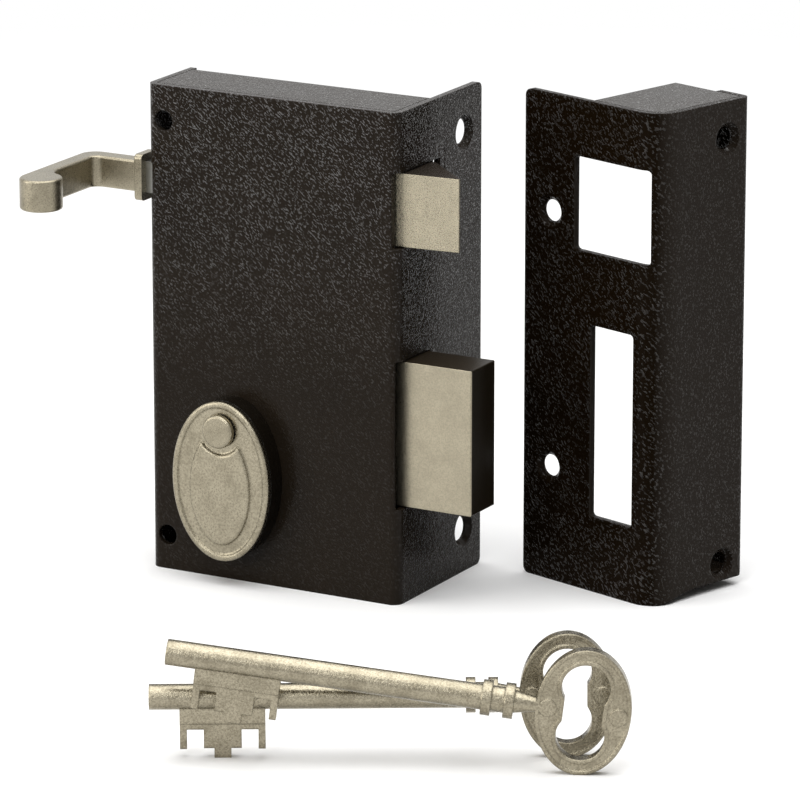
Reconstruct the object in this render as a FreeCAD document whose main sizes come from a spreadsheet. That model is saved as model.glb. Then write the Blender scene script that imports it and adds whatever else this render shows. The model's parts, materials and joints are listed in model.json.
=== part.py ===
import FreeCAD, Part
import math
import os
import Sketcher

# Rim lock for a door that opens inwards, with its keeper and two keys.
# The origin is the centre of the case's back, which lies on the door.
# +X points to the forend and its bolts, -Y into the room, +Z up.

doc = FreeCAD.newDocument("RimLock")
Vector = FreeCAD.Vector

# Driving sizes in millimetres and degrees
SIZES = {
    # Lock case
    "case_width": 80.0,
    "case_height": 140.0,
    "case_depth": 24.0,
    "lip_depth": 24.0,
    "sheet_thickness": 2.0,
    "case_bend_radius": 3.0,
    "lip_corner_radius": 2.0,
    "seam_gap": 0.2,
    "cover_bend_radius": 2.4,
    "relief_start": 14.8,
    "relief_length": 32.0,
    "relief_depth": 1.2,
    # How far a cutter runs past the face it leaves
    "cut_overrun": 1.0,
    # Screw holes
    "fixing_hole_radius": 2.9,
    "fixing_hole_inset": 5.5,
    "fixing_hole_pitch": 120.0,
    "lip_hole_radius": 3.5,
    "lip_hole_back": 14.0,
    "lip_hole_pitch": 115.0,
    "countersink_width": 1.5,
    # Key axis, keyholes and the boss over the front keyhole
    "backset": 52.5,
    "key_axis_drop": 36.0,
    "key_clearance": 0.5,
    "boss_width": 31.0,
    "boss_height": 46.2,
    "boss_stand": 6.0,
    "boss_wall": 1.6,
    "boss_centre_drop": 39.4,
    # Swing cover
    "cover_gap": 0.25,
    "cover_thickness": 1.3,
    "cover_rim_width": 1.7,
    "cover_rim_stand": 0.6,
    "cover_pivot_rise": 14.8,
    "shield_half_width": 9.6,
    "shield_half_height": 16.2,
    "shield_drop": 2.1,
    "shield_stand": 1.1,
    "shield_notch_radius": 6.9,
    "shield_edge_radius": 0.6,
    "rivet_head_radius": 4.8,
    "rivet_head_height": 1.7,
    "rivet_edge_radius": 0.9,
    "rivet_shank_radius": 2.0,
    "running_fit": 0.05,
    # Spring latch, its bar and pull handle
    "latch_height": 20.6,
    "latch_rise": 42.4,
    "latch_front": 3.2,
    "latch_thickness": 16.4,
    "latch_projection": 16.4,
    "latch_inside": 12.0,
    "latch_tip": 0.7,
    "latch_rake": 1.5,
    "latch_bevel_start": 1.0,
    "latch_travel": 18.0,
    "slot_gap": 0.4,
    "latch_slot_back": 2.6,
    "latch_slot_wrap": 2.2,
    "latch_notch_width": 4.4,
    "latch_notch_rise": 4.0,
    "bar_slot_wrap": 1.4,
    "bar_height": 9.0,
    "bar_thickness": 4.0,
    "bar_overlap": 10.0,
    "collar_gap": 2.4,
    "collar_thickness": 2.3,
    "collar_height": 13.3,
    "collar_depth": 8.8,
    "tenon_length": 8.0,
    "tenon_height": 5.0,
    "tenon_thickness": 2.6,
    "arm_length": 19.1,
    "arm_thickness": 5.4,
    "arm_outer_radius": 5.0,
    "arm_inner_radius": 2.6,
    "leg_thickness": 5.0,
    "leg_reach": 35.0,
    "knob_radius": 6.0,
    "knob_fillet": 5.0,
    "handle_edge_radius": 0.7,
    # Latch spring, its rod and bracket
    "rod_radius": 1.9,
    "rod_depth": 13.5,
    "rod_gap": 0.3,
    "rod_end_length": 3.0,
    "spring_radius": 3.7,
    "spring_wire": 0.9,
    "spring_turns": 7.0,
    "bracket_place": 38.0,
    "bracket_thickness": 2.0,
    "bracket_height": 16.0,
    "bracket_foot": 7.0,
    "bracket_gap": 0.6,
    # Bell crank by which the key draws the latch
    "crank_pivot_place": 22.0,
    "crank_pivot_height": 60.0,
    "crank_post_radius": 2.5,
    "stud_head_height": 1.0,
    "crank_hub_radius": 5.0,
    "crank_thickness": 1.6,
    "crank_depth": 18.1,
    "crank_arm_width": 7.0,
    "crank_shoulder": 4.0,
    "crank_toe_place": 16.0,
    "crank_toe_drop": 22.0,
    "crank_toe_radius": 2.2,
    "drive_pin_radius": 2.0,
    "drive_pin_end": 0.6,
    "fork_gap": 0.3,
    "fork_wall": 2.6,
    "fork_overrun": 4.5,
    # Deadbolt and its tail
    "bolt_height": 41.5,
    "bolt_bottom": 27.8,
    "bolt_front": 4.2,
    "bolt_thickness": 13.6,
    "bolt_projection": 20.8,
    "bolt_inside": 10.0,
    "bolt_edge_radius": 0.5,
    "bolt_travel": 20.8,
    "bolt_gap": 0.4,
    "bolt_slot_front": 0.7,
    "tail_depth": 6.5,
    "tail_clearance": 1.2,
    "tail_thickness": 3.0,
    "tail_start": 23.4,
    "tail_overlap": 9.0,
    "tail_bottom": 48.0,
    "tail_low_top": 62.0,
    "tail_step": 44.0,
    "tail_top": 74.4,
    "talon_place": 31.0,
    "talon_width": 4.0,
    "talon_depth": 2.2,
    "tail_rivet_radius": 1.8,
    "tail_rivet_pitch": 9.0,
    "stump_place": 42.0,
    "stump_height": 56.0,
    "stump_radius": 2.0,
    "stump_length": 11.2,
    "guide_post_place": 50.0,
    "guide_post_height": 71.4,
    "guide_post_radius": 1.6,
    # Lever pack
    "lever_post_place": 9.0,
    "lever_post_height": 69.0,
    "lever_post_radius": 2.5,
    "lever_hub_radius": 5.0,
    "lever_thickness": 1.1,
    "lever_pitch": 1.4,
    "lever_spring_width": 0.5,
    "lever_spring_length": 22.0,
    "lever_spring_rise": 6.5,
    "leaf_inset": 1.0,
    "leaf_foot": 2.4,
    "leaf_middle_rise": 4.7,
    "lever_right": 46.2,
    "lever_top": 65.2,
    "lever_belly": 47.3,
    "belly_right": 10.0,
    "belly_left": 8.0,
    "lever_nose_drop": 5.2,
    "gate_gap": 0.25,
    "pocket_side": 1.1,
    "pocket_below": 2.0,
    "pocket_above": 2.6,
    "pocket_step": 0.28,
    "spacer_radius": 4.4,
    "spacer_gap": 0.1,
    "spring_stop_radius": 2.0,
    "leaf_end_overlap": 1.5,
    "spring_stop_gap": 3.4,
    # Back cover fixing
    "cover_post_radius": 3.0,
    "screw_radius": 1.5,
    "screw_head_radius": 2.8,
    "screw_head_height": 1.2,
    "screw_length": 10.0,
    "screw_end_gap": 1.0,
    "screw_groove_depth": 0.6,
    "screw_groove_width": 0.8,
    "upper_screw_inset": 18.0,
    "upper_screw_height": 90.0,
    "lower_screw_inset": 20.0,
    "lower_screw_height": 14.0,
    "top_screw_inset": 38.0,
    "top_screw_drop": 11.0,
    # Keeper
    "keeper_plate_width": 51.0,
    "keeper_face_width": 36.6,
    "keeper_box_width": 26.5,
    "keeper_bend_radius": 8.0,
    "keeper_return": 13.0,
    "return_bend_radius": 2.6,
    "keeper_x": 103.55,
    "keeper_y": 7.69,
    "keeper_turn": -16.8,
    "latch_window_start": 3.8,
    "latch_window_width": 28.2,
    "latch_window_bottom": 97.3,
    "latch_window_height": 26.7,
    "bolt_window_start": 9.0,
    "bolt_window_width": 16.3,
    "bolt_window_bottom": 21.7,
    "bolt_window_height": 55.2,
    "window_corner_radius": 1.2,
    "keeper_hole_radius": 3.1,
    "keeper_hole_inset": 9.5,
    "keeper_hole_height": 69.7,
    "keeper_hole_pitch": 73.5,
    "face_hole_back": 27.3,
    "face_hole_height": 68.5,
    "face_hole_pitch": 122.0,
    "face_relief_depth": 2.6,
    "face_relief_front": 3.5,
    "face_relief_rise": 14.0,
    "cap_rise": 0.5,
    "face_corner_width": 1.5,
    "face_corner_height": 3.4,
    # Keys
    "key_length": 119.6,
    "key_shaft_radius": 3.35,
    "key_tip": 7.8,
    "bit_width": 22.0,
    "bit_thickness": 2.8,
    "bit_band_reach": 6.9,
    "bit_band_thickness": 3.9,
    "bit_root_reach": 8.5,
    "bit_prong_width": 1.8,
    "bit_prong_reach": 13.7,
    "bit_block_width": 9.7,
    "bit_block_reach": 13.5,
    "bit_step_width": 4.3,
    "bit_step_reach": 16.1,
    "collar_one_place": 81.25,
    "collar_two_place": 87.05,
    "key_collar_width": 2.5,
    "key_collar_radius": 4.6,
    "key_neck_radius": 3.5,
    "key_neck_end": 96.0,
    "bow_length": 24.6,
    "bow_width": 33.3,
    "bow_thickness": 3.4,
    "bow_hole_radius": 6.25,
    "bow_hole_spread": 6.5,
    "bow_waist_width": 10.2,
    "bow_rim_width": 1.0,
    "bow_field_depth": 0.3,
    "bow_mark_radius": 2.3,
    "bow_mark_place": 9.1,
    "key_front_x": 150.4,
    "key_front_y": -125.45,
    "key_front_turn": 24.1,
    "key_front_tilt": 6.9,
    "key_rear_x": 140.45,
    "key_rear_y": -115.15,
    "key_rear_turn": 29.2,
    "key_rear_tilt": -0.35,
}

sheet = doc.addObject("Spreadsheet::Sheet", "Sizes")
for row, (name, number) in enumerate(SIZES.items(), start=1):
    sheet.set(f"A{row}", name)
    sheet.set(f"B{row}", str(number))
    sheet.setAlias(f"B{row}", name)
doc.recompute()


class Size:
    """A size that carries its value and the formula that the document binds."""

    def __init__(self, formula, value):
        self.formula = formula
        self.value = value

    def __add__(self, other):
        other = as_size(other)
        return Size(f"({self.formula} + {other.formula})", self.value + other.value)

    def __sub__(self, other):
        other = as_size(other)
        return Size(f"({self.formula} - {other.formula})", self.value - other.value)

    def __mul__(self, other):
        other = as_size(other)
        return Size(f"({self.formula} * {other.formula})", self.value * other.value)

    def __truediv__(self, other):
        other = as_size(other)
        return Size(f"({self.formula} / {other.formula})", self.value / other.value)

    def __radd__(self, other):
        return as_size(other) + self

    def __rsub__(self, other):
        return as_size(other) - self

    def __rmul__(self, other):
        return as_size(other) * self

    def __neg__(self):
        return Size(f"(0 - {self.formula})", -self.value)


def as_size(number):
    """Makes a plain number a Size."""
    if isinstance(number, Size):
        return number
    return Size(repr(float(number)), float(number))


class Sizes:
    """Gives each cell of the sheet as a Size."""

    def __getattr__(self, name):
        return Size(f"Sizes.{name}", SIZES[name])


s = Sizes()
over = s.cut_overrun


def cosine(angle):
    return Size(f"cos({angle.formula})", math.cos(math.radians(angle.value)))


def sine(angle):
    return Size(f"sin({angle.formula})", math.sin(math.radians(angle.value)))


def bind(thing, prop, size):
    """Binds a property to a size's formula."""
    thing.setExpression(prop, as_size(size).formula)


def place(thing, x=0, y=0, z=0):
    """Binds the place of an object."""
    bind(thing, "Placement.Base.x", x)
    bind(thing, "Placement.Base.y", y)
    bind(thing, "Placement.Base.z", z)


# Places in the case are measured from its left side, front and bottom
def from_left(distance):
    return distance - s.case_width / 2


def from_front(distance):
    return distance - s.case_depth


def from_bottom(distance):
    return distance - s.case_height / 2


# PartDesign helpers
def new_body(name):
    body = doc.addObject("PartDesign::Body", name)
    body.Label = name
    return body


def new_sketch(body, name, role, offset=0):
    """Makes a sketch on an origin plane, moved along the plane's normal."""
    sketch = body.newObject("Sketcher::SketchObject", name)
    plane = [item for item in body.Origin.OriginFeatures if item.Role == role][0]
    sketch.AttachmentSupport = [(plane, "")]
    sketch.MapMode = "FlatFace"
    bind(sketch, "AttachmentOffset.Base.z", offset)
    return sketch


def fix_point(sketch, shape, point, x, y):
    """Holds a point of the sketch at its distances from the origin."""
    for kind, size in (("DistanceX", as_size(x)), ("DistanceY", as_size(y))):
        index = sketch.addConstraint(
            Sketcher.Constraint(kind, -1, 1, shape, point, size.value)
        )
        sketch.setExpression(f"Constraints[{index}]", size.formula)


def draw_polygon(sketch, points):
    """Draws a closed outline of straight lines."""
    corners = [(as_size(x), as_size(y)) for x, y in points]
    first = len(sketch.Geometry)
    count = len(corners)
    for i in range(count):
        start = corners[i]
        end = corners[(i + 1) % count]
        line = Part.LineSegment(
            Vector(start[0].value, start[1].value, 0), Vector(end[0].value, end[1].value, 0)
        )
        sketch.addGeometry(line)
    for i in range(count):
        following = first + (i + 1) % count
        sketch.addConstraint(Sketcher.Constraint("Coincident", first + i, 2, following, 1))
        fix_point(sketch, first + i, 1, *corners[i])


def draw_rectangle(sketch, x0, y0, x1, y1):
    draw_polygon(sketch, [(x0, y0), (x1, y0), (x1, y1), (x0, y1)])


def draw_circle(sketch, x, y, radius):
    radius = as_size(radius)
    centre = Vector(as_size(x).value, as_size(y).value, 0)
    index = sketch.addGeometry(Part.Circle(centre, Vector(0, 0, 1), radius.value))
    fix_point(sketch, index, 3, x, y)
    held = sketch.addConstraint(Sketcher.Constraint("Radius", index, radius.value))
    sketch.setExpression(f"Constraints[{held}]", radius.formula)


def pad(body, sketch, length, midplane=False):
    feature = body.newObject("PartDesign::Pad", sketch.Name + "_pad")
    feature.Profile = sketch
    feature.Midplane = midplane
    bind(feature, "Length", length)
    doc.recompute()
    return feature


def pocket(body, sketch, length):
    """Cuts against the sketch's normal, and makes sure that something was cut."""
    before = body.Tip.Shape.Volume
    feature = body.newObject("PartDesign::Pocket", sketch.Name + "_cut")
    feature.Profile = sketch
    bind(feature, "Length", length)
    doc.recompute()
    if not feature.Shape.Volume < before - 0.01:
        raise RuntimeError(sketch.Name + " cut nothing")
    return feature


def edge_names(shape, wanted):
    """Names the edges of a shape for which the test holds."""
    return [f"Edge{i + 1}" for i, edge in enumerate(shape.Edges) if wanted(edge)]


def is_straight(edge):
    return isinstance(edge.Curve, Part.Line)


def near(a, b, limit=0.02):
    return abs(a - b) < limit


def runs_along(edge, axis, x=None, y=None, z=None):
    """Tells whether a straight edge runs along an axis at the given place."""
    if not is_straight(edge):
        return False
    direction = edge.tangentAt(edge.FirstParameter)
    if abs(abs(direction.dot(axis)) - 1) > 1e-6:
        return False
    middle = edge.BoundBox.Center
    places = ((middle.x, x), (middle.y, y), (middle.z, z))
    return all(value is None or near(have, as_size(value).value) for have, value in places)


def round_edges(body, wanted, radius, name):
    base = body.Tip
    feature = body.newObject("PartDesign::Fillet", name)
    names = edge_names(base.Shape, wanted)
    feature.Base = (base, names)
    bind(feature, "Radius", radius)
    doc.recompute()
    return feature


def chamfer_rings(body, radius, axis, level, size, name):
    """Countersinks the holes of one radius at one level along an axis."""
    base = body.Tip
    wanted_radius = as_size(radius).value
    wanted_level = as_size(level).value

    def is_ring(edge):
        if not isinstance(edge.Curve, Part.Circle):
            return False
        return near(edge.Curve.Radius, wanted_radius) and near(
            edge.Curve.Center.dot(axis), wanted_level
        )

    feature = body.newObject("PartDesign::Chamfer", name)
    feature.Base = (base, edge_names(base.Shape, is_ring))
    bind(feature, "Size", size)
    doc.recompute()
    return feature


# Primitive helpers
def cylinder_along_y(name, x, z, front, back, radius):
    """A cylinder along Y from its front end to its back end."""
    item = doc.addObject("Part::Cylinder", name)
    item.Label = name
    bind(item, "Radius", radius)
    bind(item, "Height", back - front)
    item.Placement.Rotation = FreeCAD.Rotation(Vector(1, 0, 0), -90)
    place(item, x, front, z)
    return item


def cylinder_along_x(name, start, y, z, length, radius):
    item = doc.addObject("Part::Cylinder", name)
    item.Label = name
    bind(item, "Radius", radius)
    bind(item, "Height", length)
    item.Placement.Rotation = FreeCAD.Rotation(Vector(0, 1, 0), 90)
    place(item, start, y, z)
    return item


def box(name, x0, y0, z0, x1, y1, z1):
    """A box between two opposite corners."""
    item = doc.addObject("Part::Box", name)
    item.Label = name
    bind(item, "Length", x1 - x0)
    bind(item, "Width", y1 - y0)
    bind(item, "Height", z1 - z0)
    place(item, x0, y0, z0)
    return item


def oval_along_y(name, x, z, front, depth, half_width, half_height):
    """An upright oval plate; it grows from its front towards the door."""
    outline = doc.addObject("Part::Ellipse", name + "_outline")
    bind(outline, "MajorRadius", half_height)
    bind(outline, "MinorRadius", half_width)
    outline.Placement.Rotation = FreeCAD.Rotation(Vector(0, 0, 1), Vector(-1, 0, 0), Vector(0, -1, 0))
    place(outline, x, front, z)
    plate = doc.addObject("Part::Extrusion", name)
    plate.Base = outline
    plate.DirMode = "Custom"
    plate.Dir = Vector(0, 1, 0)
    plate.Solid = True
    bind(plate, "LengthFwd", depth)
    return plate


def cut(name, base, tools):
    tool = tools[0] if len(tools) == 1 else fuse(name + "_tools", tools)
    item = doc.addObject("Part::Cut", name)
    item.Label = name
    item.Base = base
    item.Tool = tool
    return item


def fuse(name, items):
    item = doc.addObject("Part::MultiFuse", name)
    item.Label = name
    item.Shapes = items
    item.Refine = True
    return item


def group(name, items):
    """Keeps like pieces as separate solids in one node."""
    item = doc.addObject("Part::Compound", name)
    item.Label = name
    item.Links = items
    return item


AXIS_X = Vector(1, 0, 0)
AXIS_Y = Vector(0, 1, 0)
AXIS_Z = Vector(0, 0, 1)

# Faces of the case and the key axis
case_left = from_left(0)
case_right = from_left(s.case_width)
case_front = from_front(0)
inner_left = case_left + s.sheet_thickness
inner_right = case_right - s.sheet_thickness
inner_front = case_front + s.sheet_thickness
inner_back = -s.sheet_thickness
half_height = s.case_height / 2
key_x = case_right - s.backset
key_z = -s.key_axis_drop

# Bar, latch and bolt faces
latch_front = from_front(s.latch_front)
latch_back = latch_front + s.latch_thickness
latch_rear = inner_right - s.latch_inside
latch_end = case_right + s.latch_projection
latch_z = s.latch_rise
bolt_front = from_front(s.bolt_front)
bolt_back = bolt_front + s.bolt_thickness
bolt_rear = inner_right - s.bolt_inside
bolt_end = case_right + s.bolt_projection
bolt_low = from_bottom(s.bolt_bottom)
bolt_high = bolt_low + s.bolt_height
tail_front = from_front(s.tail_depth)
tail_back = tail_front + s.tail_thickness
bar_back = latch_front + s.bar_thickness
bar_start = case_left - s.collar_gap


def keyhole_tools(name, front, back, round_radius, reach):
    """The round and the slot of a keyhole, as solids to cut with."""
    half_slot = s.bit_band_thickness / 2 + s.key_clearance
    hole = cylinder_along_y(name + "_round", key_x, key_z, front, back, round_radius)
    slot = box(name + "_slot", key_x - half_slot, front, key_z - reach, key_x + half_slot, back, key_z)
    return [hole, slot]


def make_case_shell():
    """Left side, front and forend are one folded sheet; the forend runs on as a lip."""
    body = new_body("folded_sheet")
    profile = new_sketch(body, "case_profile", "XY_Plane")
    draw_polygon(
        profile,
        [
            (case_left, 0),
            (case_left, case_front),
            (case_right, case_front),
            (case_right, s.lip_depth),
            (inner_right, s.lip_depth),
            (inner_right, inner_front),
            (inner_left, inner_front),
            (inner_left, 0),
        ],
    )
    pad(body, profile, s.case_height, midplane=True)

    def outer_bend(edge):
        return runs_along(edge, AXIS_Z, case_left, case_front) or runs_along(
            edge, AXIS_Z, case_right, case_front
        )

    def inner_bend(edge):
        return runs_along(edge, AXIS_Z, inner_left, inner_front) or runs_along(
            edge, AXIS_Z, inner_right, inner_front
        )

    def lip_corner(edge):
        return runs_along(edge, AXIS_X, None, s.lip_depth)

    round_edges(body, outer_bend, s.case_bend_radius, "outer_bends")
    round_edges(body, inner_bend, s.case_bend_radius - s.sheet_thickness, "inner_bends")
    round_edges(body, lip_corner, s.lip_corner_radius, "lip_corners")

    fixing = new_sketch(body, "case_fixing_holes", "XZ_Plane", -case_front)
    for side in (1, -1):
        draw_circle(
            fixing, from_left(s.fixing_hole_inset), side * s.fixing_hole_pitch / 2, s.fixing_hole_radius
        )
    pocket(body, fixing, s.sheet_thickness + over)

    latch_opening = new_sketch(body, "latch_opening", "YZ_Plane", case_right)
    latch_half = s.latch_height / 2 + s.slot_gap
    draw_polygon(
        latch_opening,
        [
            (case_front - over, latch_z - latch_half),
            (s.latch_slot_back, latch_z - latch_half),
            (s.latch_slot_back, latch_z + latch_half + s.latch_notch_rise),
            (s.latch_slot_back - s.latch_notch_width, latch_z + latch_half + s.latch_notch_rise),
            (s.latch_slot_back - s.latch_notch_width, latch_z + latch_half),
            (case_front - over, latch_z + latch_half),
        ],
    )
    pocket(body, latch_opening, s.latch_slot_wrap)
    bolt_opening = new_sketch(body, "bolt_opening", "YZ_Plane", case_right)
    draw_rectangle(
        bolt_opening,
        from_front(s.bolt_slot_front),
        bolt_low - s.bolt_gap,
        bolt_back + s.bolt_gap,
        bolt_high + s.bolt_gap,
    )
    pocket(body, bolt_opening, s.sheet_thickness + over)

    lip_holes = new_sketch(body, "lip_holes", "YZ_Plane", case_right)
    for side in (1, -1):
        draw_circle(lip_holes, s.lip_hole_back, side * s.lip_hole_pitch / 2, s.lip_hole_radius)
    pocket(body, lip_holes, s.sheet_thickness + over)
    chamfer_rings(body, s.lip_hole_radius, AXIS_X, case_right, s.countersink_width, "lip_countersinks")

    bar_slot = new_sketch(body, "bar_slot", "YZ_Plane", inner_left + over)
    bar_half = s.bar_height / 2 + s.slot_gap
    draw_rectangle(
        bar_slot, latch_front - s.slot_gap, latch_z - bar_half, bar_back + s.slot_gap, latch_z + bar_half
    )
    pocket(body, bar_slot, s.sheet_thickness + 2 * over)
    slot_wrap = new_sketch(body, "bar_slot_at_bend", "YZ_Plane", case_left + s.bar_slot_wrap)
    draw_rectangle(
        slot_wrap, case_front - over, latch_z - bar_half, latch_front, latch_z + bar_half
    )
    pocket(body, slot_wrap, s.bar_slot_wrap + over)

    ward = keyhole_tools(
        "ward",
        case_front - over,
        inner_front + over,
        s.bit_root_reach + s.key_clearance,
        s.bit_step_reach + s.key_clearance,
    )
    return cut("case_shell", body, ward)


def cover_screw_places():
    """Where the three posts and screws of the back cover stand."""
    return [
        (case_right - s.upper_screw_inset, from_bottom(s.upper_screw_height)),
        (case_right - s.lower_screw_inset, from_bottom(s.lower_screw_height)),
        (case_right - s.top_screw_inset, half_height - s.top_screw_drop),
    ]


def make_back_cover():
    """The cover closes the back, and its two flanges close the top and the bottom."""
    body = new_body("cover_sheet")
    flange_end = inner_front + s.seam_gap
    flange_inner = half_height - s.sheet_thickness
    profile = new_sketch(body, "cover_profile", "YZ_Plane")
    draw_polygon(
        profile,
        [
            (0, -half_height),
            (0, half_height),
            (flange_end, half_height),
            (flange_end, flange_inner),
            (inner_back, flange_inner),
            (inner_back, -flange_inner),
            (flange_end, -flange_inner),
            (flange_end, -half_height),
        ],
    )
    pad(body, profile, s.case_width - 2 * s.sheet_thickness - 2 * s.seam_gap, midplane=True)

    def outer_fold(edge):
        return runs_along(edge, AXIS_X, None, 0)

    round_edges(body, outer_fold, s.cover_bend_radius, "cover_folds")

    def flange_corner(edge):
        return runs_along(edge, AXIS_Z, None, flange_end)

    round_edges(body, flange_corner, s.case_bend_radius - s.sheet_thickness, "flange_corners")
    holes = new_sketch(body, "cover_fixing_holes", "XZ_Plane", s.sheet_thickness + over)
    for side in (1, -1):
        draw_circle(
            holes, from_left(s.fixing_hole_inset), side * s.fixing_hole_pitch / 2, s.fixing_hole_radius
        )
    pocket(body, holes, s.sheet_thickness + 2 * over)
    tools = keyhole_tools(
        "back_keyhole",
        inner_back - over,
        over,
        s.key_shaft_radius + s.key_clearance,
        s.bit_step_reach + s.key_clearance,
    )
    for number, (x, z) in enumerate(cover_screw_places(), start=1):
        tools.append(
            cylinder_along_y(
                f"cover_screw_hole_{number}", x, z, inner_back - over, over, s.screw_radius + s.running_fit
            )
        )
        tools.append(
            cylinder_along_y(
                f"cover_screw_seat_{number}", x, z, -s.screw_head_height, over,
                s.screw_head_radius + s.running_fit,
            )
        )
    for side, name in ((1, "top"), (-1, "bottom")):
        top = half_height + over
        low = half_height - s.sheet_thickness
        tools.append(
            box(
                f"{name}_fold_relief",
                from_left(s.relief_start),
                -s.relief_depth,
                low if side > 0 else -top,
                from_left(s.relief_start + s.relief_length),
                over,
                top if side > 0 else -low,
            )
        )
    return cut("back_cover", body, tools)


def make_cover_fixings():
    """Posts stand on the inside of the front; screws hold the cover on them."""
    posts = []
    screws = []
    for number, (x, z) in enumerate(cover_screw_places(), start=1):
        post = cylinder_along_y(f"post_{number}_blank", x, z, inner_front, inner_back, s.cover_post_radius)
        thread = cylinder_along_y(
            f"post_{number}_thread",
            x,
            z,
            inner_back - s.screw_length,
            inner_back + over,
            s.screw_radius + s.running_fit,
        )
        posts.append(cut(f"post_{number}", post, [thread]))
        shank = cylinder_along_y(
            f"screw_{number}_shank", x, z, inner_back - s.screw_length + s.screw_end_gap, -s.screw_head_height, s.screw_radius
        )
        head = cylinder_along_y(
            f"screw_{number}_head", x, z, -s.screw_head_height, as_size(0), s.screw_head_radius
        )
        groove = box(
            f"screw_{number}_groove",
            x - s.screw_head_radius,
            -s.screw_groove_depth,
            z - s.screw_groove_width / 2,
            x + s.screw_head_radius,
            over,
            z + s.screw_groove_width / 2,
        )
        screws.append(cut(f"screw_{number}", fuse(f"screw_{number}_blank", [shank, head]), [groove]))
    return [group("cover_posts", posts), group("cover_screws", screws)]


boss_front = case_front - s.boss_stand
boss_z = -s.boss_centre_drop
pivot_z = boss_z + s.cover_pivot_rise


def make_keyhole_boss():
    """An oval cup on the front gives the key's first prong room to turn."""
    outer = oval_along_y(
        "boss_outer", key_x, boss_z, boss_front, s.boss_stand, s.boss_width / 2, s.boss_height / 2
    )
    cavity = cylinder_along_y(
        "boss_cavity",
        key_x,
        key_z,
        boss_front + s.boss_wall,
        case_front + over,
        s.bit_prong_reach + s.key_clearance,
    )
    tools = [cavity]
    tools += keyhole_tools(
        "front_keyhole",
        boss_front - over,
        case_front + over,
        s.key_shaft_radius + s.key_clearance,
        s.bit_step_reach + s.key_clearance,
    )
    tools.append(
        cylinder_along_y(
            "boss_rivet_hole",
            key_x,
            pivot_z,
            boss_front - over,
            case_front + over,
            s.rivet_shank_radius,
        )
    )
    return cut("keyhole_boss", outer, tools)


cover_back = boss_front - s.cover_gap
cover_front = cover_back - s.cover_thickness
rim_front = cover_front - s.cover_rim_stand


def make_keyhole_cover():
    """A flat oval with a rounded rim and a raised shield below its rivet."""
    half_width = s.boss_width / 2
    half_tall = s.boss_height / 2
    plate = oval_along_y(
        "cover_plate", key_x, boss_z, rim_front, cover_back - rim_front, half_width, half_tall
    )
    rounded = doc.addObject("Part::Fillet", "cover_plate_rounded")
    rounded.Base = plate
    doc.recompute()
    front_edges = [
        i + 1
        for i, edge in enumerate(plate.Shape.Edges)
        if near(edge.BoundBox.YMin, rim_front.value) and near(edge.BoundBox.YMax, rim_front.value)
    ]
    rim_radius = s.cover_rim_stand.value
    rounded.Edges = [(number, rim_radius, rim_radius) for number in front_edges]
    field = oval_along_y(
        "cover_field",
        key_x,
        boss_z,
        rim_front - over,
        s.cover_rim_stand + over,
        half_width - s.cover_rim_width,
        half_tall - s.cover_rim_width,
    )
    dished = cut("cover_dished", rounded, [field])
    shield_front = cover_front - s.shield_stand
    shield_oval = oval_along_y(
        "shield_oval",
        key_x,
        boss_z - s.shield_drop,
        shield_front,
        s.shield_stand + s.cover_thickness / 2,
        s.shield_half_width,
        s.shield_half_height,
    )
    notch = cylinder_along_y(
        "shield_notch", key_x, pivot_z, shield_front - over, cover_front, s.shield_notch_radius
    )
    shield = cut("shield_blank", shield_oval, [notch])
    doc.recompute()
    shield_rounded = doc.addObject("Part::Fillet", "shield_rounded")
    shield_rounded.Base = shield
    shield_radius = s.shield_edge_radius.value
    shield_edges = [
        i + 1
        for i, edge in enumerate(shield.Shape.Edges)
        if near(edge.BoundBox.YMin, shield_front.value) and near(edge.BoundBox.YMax, shield_front.value)
    ]
    shield_rounded.Edges = [(number, shield_radius, shield_radius) for number in shield_edges]
    body = fuse("cover_body", [dished, shield_rounded])
    bore = cylinder_along_y(
        "cover_bore",
        key_x,
        pivot_z,
        shield_front - over,
        cover_back + over,
        s.rivet_shank_radius + s.running_fit,
    )
    return cut("keyhole_cover", body, [bore])


def make_cover_rivet():
    """The rivet's round head holds the cover; its shank is set in the boss."""
    head_back = rim_front
    head_front = head_back - s.rivet_head_height
    head = cylinder_along_y("rivet_head", key_x, pivot_z, head_front, head_back, s.rivet_head_radius)
    rounded = doc.addObject("Part::Fillet", "rivet_head_rounded")
    rounded.Base = head
    doc.recompute()
    radius = s.rivet_edge_radius.value
    rounded.Edges = [
        (i + 1, radius, radius)
        for i, edge in enumerate(head.Shape.Edges)
        if near(edge.BoundBox.YMax, head_front.value)
    ]
    shank = cylinder_along_y(
        "rivet_shank", key_x, pivot_z, head_back, boss_front + s.boss_wall, s.rivet_shank_radius
    )
    return fuse("cover_rivet", [rounded, shank])


def make_latch_bolt():
    """The latch is flat towards the room and bevelled towards the door."""
    body = new_body("latch_block")
    profile = new_sketch(body, "latch_profile", "XY_Plane", latch_z)
    draw_polygon(
        profile,
        [
            (latch_rear, latch_front),
            (case_right, latch_front),
            (latch_end, latch_front + s.latch_rake),
            (latch_end, latch_front + s.latch_rake + s.latch_tip),
            (case_right + s.latch_bevel_start, latch_back),
            (latch_rear, latch_back),
        ],
    )
    pad(body, profile, s.latch_height, midplane=True)
    bar_half = s.bar_height / 2
    seat = box(
        "latch_bar_seat",
        latch_rear - over,
        latch_front - over,
        latch_z - bar_half - s.running_fit,
        latch_rear + s.bar_overlap + s.running_fit,
        bar_back,
        latch_z + bar_half + s.running_fit,
    )
    tools = [seat]
    for number, x in enumerate(latch_rivet_places(), start=1):
        tools.append(
            cylinder_along_y(
                f"latch_rivet_hole_{number}", x, latch_z, latch_front - over, latch_back + over,
                s.tail_rivet_radius + s.running_fit,
            )
        )
    return cut("latch_bolt", body, tools)


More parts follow.
